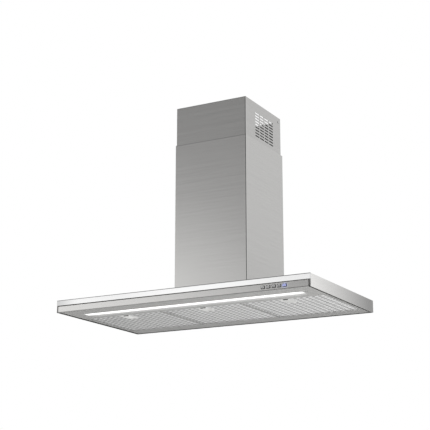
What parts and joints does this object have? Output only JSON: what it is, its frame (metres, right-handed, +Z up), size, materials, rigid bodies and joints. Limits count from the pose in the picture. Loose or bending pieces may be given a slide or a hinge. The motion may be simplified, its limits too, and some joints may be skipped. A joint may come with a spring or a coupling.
{
  "type": "wall chimney range hood",
  "caption": "Wall-mounted chimney range hood with a flat steel canopy, telescopic flue covers, hinged mesh filters, push keys, a light bar and a blower inside.",
  "frame": {"origin": "centre of the rear face of the wall rail, on the wall", "axes": "+X to the viewer's right along the canopy's width, +Y into the wall, +Z up"},
  "size_m": [0.9, 0.49, 0.712],
  "materials": {
    "brushed_steel": "brushed stainless steel",
    "polished_steel": "bright steel",
    "zinc_sheet": "galvanised steel sheet",
    "aluminium": "plain aluminium",
    "opal_plastic": "opal diffuser, lit",
    "black_plastic": "black moulded plastic",
    "black_paint": "matt black paint on steel",
    "grey_plastic": "grey moulded plastic",
    "circuit_board": "green circuit board",
    "light_board": "white circuit board",
    "blue_lens": "clear lens lit in blue",
    "motor_steel": "lacquered motor body",
    "cable_sheath": "black cable sheath"
  },
  "bodies": {
    "hood": {"blower_box": "zinc_sheet", "canopy_shell": "brushed_steel", "control_board": "circuit_board", "control_cable": "cable_sheath", "control_fascia": "brushed_steel", "cord_gland": "black_plastic", "electronics_box": "grey_plastic", "electronics_lid": "grey_plastic", "fan_motor": "motor_steel", "fascia_clip_left": "zinc_sheet", "fascia_clip_right": "zinc_sheet", "flue_foot_left": "zinc_sheet", "flue_foot_right": "zinc_sheet", "flue_screw_left": "polished_steel", "flue_screw_right": "polished_steel", "inlet_mouth_left": "black_plastic", "inlet_mouth_right": "black_plastic", "key_guide": "black_plastic", "light_cable": "cable_sheath", "light_channel": "aluminium", "light_diffuser": "opal_plastic", "light_driver": "black_plastic", "light_strip": "light_board", "lower_flue": "brushed_steel", "motor_capacitor": "grey_plastic", "motor_spider": "zinc_sheet", "outlet_collar": "black_plastic", "scroll_casing": "zinc_sheet", "underside_panel": "brushed_steel", "wall_rail": "zinc_sheet"},
    "upper_flue_set": {"upper_flue": "brushed_steel", "upper_bracket": "black_paint", "bracket_screw_left": "polished_steel", "bracket_screw_right": "polished_steel"},
    "button_off": {"button_off": "brushed_steel"},
    "button_slow": {"button_slow": "brushed_steel"},
    "button_medium": {"button_medium": "brushed_steel"},
    "button_fast": {"button_fast": "brushed_steel"},
    "button_light": {"button_light": "brushed_steel", "button_light_lens": "blue_lens"},
    "filter_left": {"filter_frame_left": "aluminium", "filter_mesh_left": "aluminium", "filter_handle_left": "aluminium"},
    "latch_left": {"filter_latch_left": "black_plastic"},
    "filter_centre": {"filter_frame_centre": "aluminium", "filter_mesh_centre": "aluminium", "filter_handle_centre": "aluminium"},
    "latch_centre": {"filter_latch_centre": "black_plastic"},
    "filter_right": {"filter_frame_right": "aluminium", "filter_mesh_right": "aluminium", "filter_handle_right": "aluminium"},
    "latch_right": {"filter_latch_right": "black_plastic"},
    "wheel": {"blower_wheel": "zinc_sheet", "motor_shaft": "polished_steel"},
    "flap_left": {"flap_left": "grey_plastic"},
    "flap_right": {"flap_right": "grey_plastic"}
  },
  "joints": [
    {"name": "upper_flue_slide", "type": "slide", "parent": "hood", "child": "upper_flue_set", "axis": [0, 0, 1], "range_m": [-0.1, 0.25]},
    {"name": "button_off_press", "type": "slide", "parent": "hood", "child": "button_off", "axis": [0, 1, 0], "range_m": [0, 0.0015], "stiffness_N_per_m": 800, "springref_m": -0.0006},
    {"name": "button_slow_press", "type": "slide", "parent": "hood", "child": "button_slow", "axis": [0, 1, 0], "range_m": [0, 0.0015], "stiffness_N_per_m": 800, "springref_m": -0.0006},
    {"name": "button_medium_press", "type": "slide", "parent": "hood", "child": "button_medium", "axis": [0, 1, 0], "range_m": [0, 0.0015], "stiffness_N_per_m": 800, "springref_m": -0.0006},
    {"name": "button_fast_press", "type": "slide", "parent": "hood", "child": "button_fast", "axis": [0, 1, 0], "range_m": [0, 0.0015], "stiffness_N_per_m": 800, "springref_m": -0.0006},
    {"name": "button_light_press", "type": "slide", "parent": "hood", "child": "button_light", "axis": [0, 1, 0], "range_m": [0, 0.0015], "stiffness_N_per_m": 800, "springref_m": -0.0006},
    {"name": "filter_left_hinge", "type": "hinge", "parent": "hood", "child": "filter_left", "pos_m": [-0.28993, -0.062, -0.2634], "axis": [1, 0, 0], "range_deg": [0, 85]},
    {"name": "latch_left_slide", "type": "slide", "parent": "filter_left", "child": "latch_left", "axis": [0, 1, 0], "range_m": [0, 0.005], "stiffness_N_per_m": 400, "springref_m": -0.002},
    {"name": "filter_centre_hinge", "type": "hinge", "parent": "hood", "child": "filter_centre", "pos_m": [0, -0.062, -0.2634], "axis": [1, 0, 0], "range_deg": [0, 85]},
    {"name": "latch_centre_slide", "type": "slide", "parent": "filter_centre", "child": "latch_centre", "axis": [0, 1, 0], "range_m": [0, 0.005], "stiffness_N_per_m": 400, "springref_m": -0.002},
    {"name": "filter_right_hinge", "type": "hinge", "parent": "hood", "child": "filter_right", "pos_m": [0.28993, -0.062, -0.2634], "axis": [1, 0, 0], "range_deg": [0, 85]},
    {"name": "latch_right_slide", "type": "slide", "parent": "filter_right", "child": "latch_right", "axis": [0, 1, 0], "range_m": [0, 0.005], "stiffness_N_per_m": 400, "springref_m": -0.002},
    {"name": "wheel_spin", "type": "hinge", "parent": "hood", "child": "wheel", "pos_m": [0, -0.1265, -0.11433], "axis": [1, 0, 0], "continuous": true},
    {"name": "flap_left_hinge", "type": "hinge", "parent": "hood", "child": "flap_left", "pos_m": [-0.005, -0.1512, 0.04335], "axis": [0, 1, 0], "range_deg": [0, 80]},
    {"name": "flap_right_hinge", "type": "hinge", "parent": "hood", "child": "flap_right", "pos_m": [0.005, -0.1512, 0.04335], "axis": [0, -1, 0], "range_deg": [0, 80]}
  ]
}
